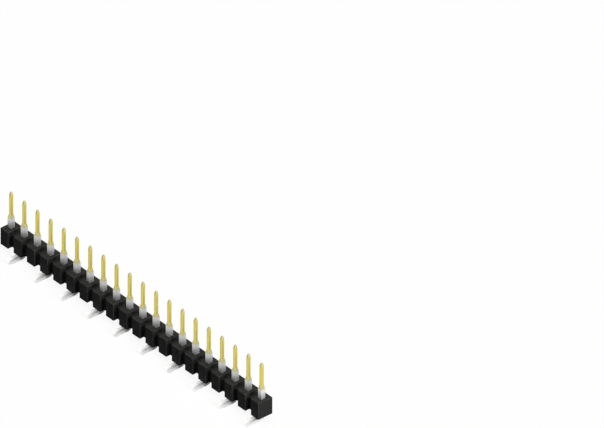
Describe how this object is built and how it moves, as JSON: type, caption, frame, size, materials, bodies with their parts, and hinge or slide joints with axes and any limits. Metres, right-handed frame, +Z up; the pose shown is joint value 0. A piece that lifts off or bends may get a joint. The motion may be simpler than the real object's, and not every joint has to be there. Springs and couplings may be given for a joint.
{
  "type": "pin header",
  "caption": "Single-row surface-mount pin header: black moulded strip with upright gold-tipped contacts and solder legs bent by turns to both sides.",
  "frame": {"origin": "on the board's surface, at the middle of the row, below the strip", "axes": "+X along the row of pins, +Y across it, +Z up along the contacts, away from the board"},
  "size_m": [0.0498, 0.0054, 0.0084],
  "materials": {
    "housing": "matte",
    "pin": "plated"
  },
  "bodies": {
    "root": {"housing": "housing", "pin_01": "pin", "pin_02": "pin", "pin_03": "pin", "pin_04": "pin", "pin_05": "pin", "pin_06": "pin", "pin_07": "pin", "pin_08": "pin", "pin_09": "pin", "pin_10": "pin", "pin_11": "pin", "pin_12": "pin", "pin_13": "pin", "pin_14": "pin", "pin_15": "pin", "pin_16": "pin", "pin_17": "pin", "pin_18": "pin", "pin_19": "pin", "pin_20": "pin"}
  },
  "joints": []
}
